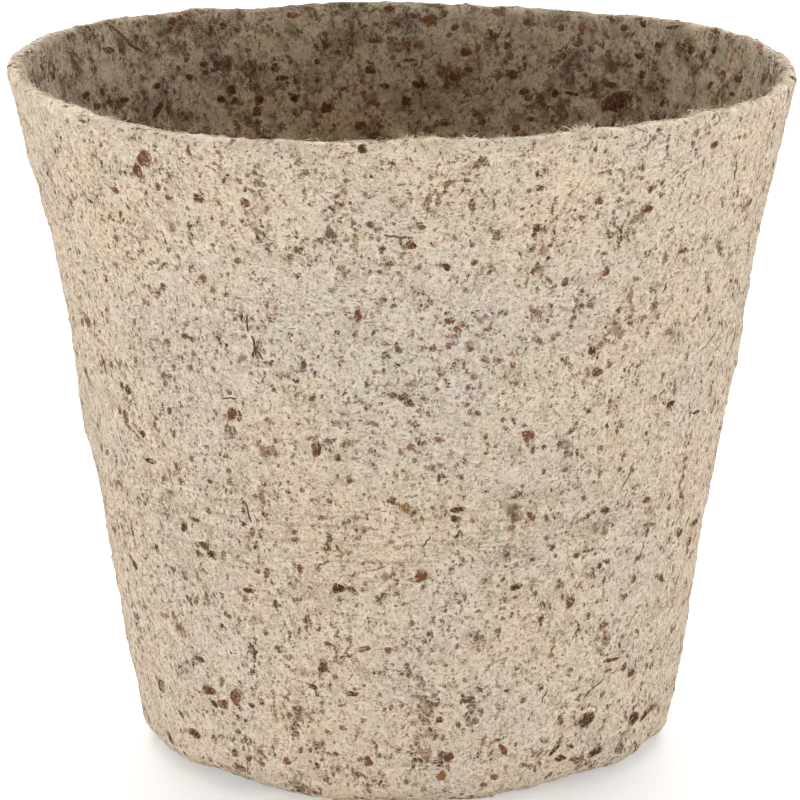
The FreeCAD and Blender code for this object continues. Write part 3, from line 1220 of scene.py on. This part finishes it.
# %% Fibres on every zone
heights = face_middles[:, 2] / MM
low_wall = facing_out & (heights < 26)
middle_wall = facing_out & (heights >= 26) & (heights < 49)
high_wall = facing_out & (heights >= 49)
front_lip = on_lip & (face_middles[:, 1] < 10 * MM)
back_of_lip = on_lip & ~front_lip
laid, loose, straight = {}, {"loose_end": True}, {"steps": 8, "most_lean": 0.5}

# Name, zone, how many, seed, the length, thickness and lift in millimetres, curl, material, and how it lies
fibre_pieces = [
    ("cream_fibres_low", low_wall, 4800, 32, (0.5, 2.2), (0.04, 0.08), (0, 0.05), 0.45, cream, laid),
    ("cream_fibres_middle", middle_wall, 4800, 33, (0.5, 1.6), (0.04, 0.08), (0, 0.05), 0.45, cream, laid),
    ("cream_fibres_high", high_wall, 4800, 34, (0.5, 1.6), (0.04, 0.08), (0, 0.05), 0.45, cream, laid),
    ("grey_fibres_outside", facing_out, 900, 35, (0.4, 1.1), (0.05, 0.09), (0, 0.03), 0.3, grey, laid),
    ("cream_fibres_inside", facing_in, 3600, 36, (0.7, 2.2), (0.05, 0.09), (0, 0.04), 0.35, brown, laid),
    ("lip_fuzz", front_lip, 1000, 37, (0.5, 1.6), (0.04, 0.07), (0, 0.06), 0.5, pale, laid),
    ("lip_hairs", front_lip, 420, 44, (0.4, 1.0), (0.03, 0.05), (0.08, 0.3), 0.3, pale, loose),
    ("lip_fuzz_back", back_of_lip, 400, 41, (0.5, 1.4), (0.04, 0.07), (0, 0.03), 0.4, brown, laid),
    ("lip_strands", front_lip, 260, 40, (1.4, 4.0), (0.04, 0.06), (0.03, 0.16), 0.14, pale, straight),
    # Grey straws on the front lip, dark lines that also stand for the shade between its strands
    ("lip_straws", front_lip, 70, 43, (1.0, 3.0), (0.04, 0.06), (0, 0.05), 0.14, grey, straight),
]
draw = np.random.default_rng(31)
for title, zone, count, seed, *look, lie in fibre_pieces:
    lay_fibres(title, random_spots(draw, zone, count), seed, *look, **lie)

chips_out = [place for place in chip_places for _ in range(2) if place.y < 0]
chips_in = [place for place in chip_places if place.y >= 0]
lay_fibres("fibres_over_chips", chips_out, 38, (0.9, 2.0), (0.04, 0.07), (0.08, 0.18), 0.3, cream)
lay_fibres("fibres_over_chips_inside", chips_in, 42, (0.9, 2.0), (0.04, 0.06), (0.03, 0.08), 0.2, brown)

# %% [markdown]
# A few bits are long: rootlets and straws that the press laid flat, and single pale fibres. Each is a bent
# curve through points of the wall, round in section and thin at both ends. Like the larger bark bits, they
# stand where the picture shows them, so each is given by the pixels that it runs through.

# %% Rootlets, straws and long fibres
root_fibre = fibre_material("rootlet", (120, 94, 68), (84, 62, 46))
straw_fibre = fibre_material("straw", (158, 130, 100), (128, 100, 74))
slimming = 0.85
longest_reach = 8 * MM

# The pixels that each one runs through, and its thickness in pixels
rootlets = [
    ([(111, 25), (123, 36), (134, 47), (143, 52)], 4.0),
    ([(384, 235), (397, 237), (414, 238)], 3.0),
    ([(737, 159), (736, 170), (734, 182)], 3.0),
    ([(247, 314), (247, 323), (248, 333)], 2.5),
    ([(251, 336), (256, 348), (263, 361)], 3.0),
    ([(246, 502), (248, 511), (251, 522)], 3.0),
    ([(430, 536), (426, 542), (422, 549)], 2.2),
    ([(222, 399), (229, 398), (237, 398)], 2.0),
    ([(603, 679), (593, 688), (582, 700)], 2.2),
    ([(548, 689), (544, 696), (541, 704)], 2.2),
]
straws = [
    ([(634, 461), (629, 476), (619, 494)], 2.4),
    ([(636, 610), (632, 619), (627, 630)], 2.0),
    ([(718, 328), (708, 344), (696, 355)], 2.0),
    ([(124, 424), (134, 432), (145, 443)], 1.8),
    ([(171, 98), (170, 109), (171, 120)], 4.0),
    ([(368, 570), (376, 570), (386, 566)], 2.0),
]
pale_fibres = [
    ([(214, 29), (219, 41), (222, 57)], 1.6),
    ([(396, 138), (404, 134), (412, 136)], 1.2),
    ([(574, 127), (580, 123), (589, 125)], 1.2),
    ([(586, 121), (588, 117), (590, 122)], 1.2),
    ([(246, 40), (254, 34), (262, 38)], 1.2),
]


def crooked(draw, pixels, stops=6, jitter=0.35):
    """The same path with more stops, each a little off the line."""
    rows = np.array(pixels, float)
    shares = np.linspace(0, len(rows) - 1, stops)
    line = np.stack([np.interp(shares, range(len(rows)), rows[:, k]) for k in (0, 1)], 1)
    return line + draw.normal(0, jitter, line.shape)


def bent_lines(title, rows, material, seed, rise_share=-0.2):
    """Round bent lines over the wall. A stop whose ray misses the wall near the first one is left out."""
    draw = np.random.default_rng(seed)
    curve = new_curve(title, 1)
    for pixels, thick in rows:
        spots = [spot_seen_at(*pixel) for pixel in crooked(draw, pixels)]
        start = spots[0][0]
        spots = [spot for spot in spots if spot[0] is not None and (spot[0] - start).length < longest_reach]
        spline = curve.splines.new("BEZIER")
        spline.bezier_points.add(len(spots) - 1)
        for number, (place, normal, pixel_size) in enumerate(spots):
            point = spline.bezier_points[number]
            radius = slimming * thick * pixel_size / 2 * draw.uniform(0.75, 1.15)
            point.co = place + normal * radius * rise_share
            point.handle_left_type = point.handle_right_type = "AUTO"
            point.radius = radius * (0.55 if number in (0, len(spots) - 1) else 1)
    finish_curve(title, curve, material)


bent_lines("rootlets", rootlets, root_fibre, 51)
bent_lines("straws", straws, straw_fibre, 52)
bent_lines("pale_long_fibres", pale_fibres, brown, 53, rise_share=1.0)

# %% [markdown]
# In a few places the front lip is torn, and its fibres stand up in tufts. A tuft is a bunch of short fibres
# with loose ends that start from one spot, so it is made with what lays the loose fibres.

# %% Tufts on the lip
fibres_in_tuft = 14
tuft_pixels = [(574, 132), (578, 131), (582, 131), (692, 118), (697, 116), (701, 115), (588, 130), (560, 135)]
tuft_pixels += [(404, 141), (412, 141), (424, 141), (436, 141), (470, 141)]
spots = [spot_seen_at(*pixel)[0] for pixel in tuft_pixels for _ in range(fibres_in_tuft)]
lay_fibres("lip_tufts", spots, 39, (0.4, 1.2), (0.03, 0.06), (0.1, 0.4), 0.6, pale, **loose)

# %% [markdown]
# The pot stands on a plain pale floor. The camera sees the floor and the air behind it as white, and the
# floor still takes the pot's shadow. The Light Path node can tell a ray that comes from the camera from one
# that lights the pot, so each of the two gets its own value.


# %% Floor
def seen_share(tree):
    """1 for what the camera sees, straight or through something, and 0 for what only gives light."""
    path = add(tree, "ShaderNodeLightPath").outputs
    return highest(tree, path["Is Camera Ray"], path["Is Glossy Ray"], path["Is Transmission Ray"])


bpy.ops.object.select_all(action="DESELECT")
bpy.ops.mesh.primitive_plane_add(size=6.0, location=(0, 0, 0))
floor = bpy.context.object
floor.name = "floor"
floor_paint, tree, shader = new_material("pale floor", roughness=0.9, shine=0.5)
glow = times(tree, seen_share(tree), 0.4)
white = (1, 1, 1, 1)
wire(tree, shader, {"Base Color": (0.88, 0.88, 0.88, 1), "Emission Color": white, "Emission Strength": glow})
floor.data.materials.append(floor_paint)
print("floor:", [round(side) for side in floor.dimensions], "m")

# %% [markdown]
# The picture's light is even and comes from low all round, so the wall is bright and the inside stays in
# shade. A room does that better than lamps can. Its walls are bright near the horizon, its ceiling is dim,
# and a soft patch high up behind the pot lights the lip from above and reaches a little way in.

# %% Bright room
wall_light = 4.3
ceiling_light = 0.15
back_light = 4.0
# How steeply up a direction is where the walls start to dim, and where the ceiling starts
wall_edge, ceiling_edge = 0.02, 0.22
# The way to the patch behind, and how well a direction agrees with it at the patch's rim and in its core
back_direction = (0.0, 0.5, 0.866)
patch_rim, patch_core = 0.75, 0.97

world = bpy.data.worlds.new("bright walls and dim ceiling")
bpy.context.scene.world = world
world.use_nodes = True
tree = world.node_tree
direction = add(tree, "ShaderNodeTexCoord").outputs["Generated"]
rise = add(tree, "ShaderNodeSeparateXYZ", {0: direction}).outputs["Z"]
room = spread(tree, rise, wall_edge, ceiling_edge, wall_light, ceiling_light)
back_way = add(tree, "ShaderNodeVectorMath", {0: direction, 1: back_direction}, operation="DOT_PRODUCT")
back_patch = spread(tree, back_way.outputs["Value"], patch_rim, patch_core, 0.0, back_light)
room = maths(tree, "ADD", room, back_patch)
strength = add(tree, "ShaderNodeMix", {0: seen_share(tree), 2: room, 3: 1.0}).outputs[0]
wire(tree, tree.nodes["Background"], {"Color": white, "Strength": strength})
print("room light from", ceiling_light, "to", wall_light)

# %% [markdown]
# Three lamps even out what the room leaves. One on each side lifts the edges of the wall, and a weak
# low strip in front, which throws its light in a narrow fan, lifts the foot.


# %% Soft lamps
def soft_lamp(title, place, size, power, tall=None, fan=180, aim_height=pot_height / 2):
    """A lamp that looks at the pot's axis. The fan is the angle in which it throws its light."""
    lamp = bpy.data.lights.new(title, "AREA")
    lamp.shape = "RECTANGLE"
    lamp.size = size
    lamp.size_y = tall or size
    lamp.energy = power
    lamp.spread = math.radians(fan)
    holder = bpy.data.objects.new(title, lamp)
    bpy.context.scene.collection.objects.link(holder)
    holder.location = place
    aim = Vector((0, 0, aim_height)) - Vector(place)
    holder.rotation_euler = aim.to_track_quat("-Z", "Y").to_euler()
    print(title, "gives", power, "watts")


soft_lamp("left lamp", (-1.1, -0.35, 0.1), 0.5, 2.0)
soft_lamp("right lamp", (1.1, -0.35, 0.1), 0.5, 1.6)
soft_lamp("foot lamp", (0, -0.8, 0.06), 0.6, 0.055, tall=0.06, fan=8, aim_height=-0.03)
bpy.context.scene.view_settings.view_transform = "Standard"
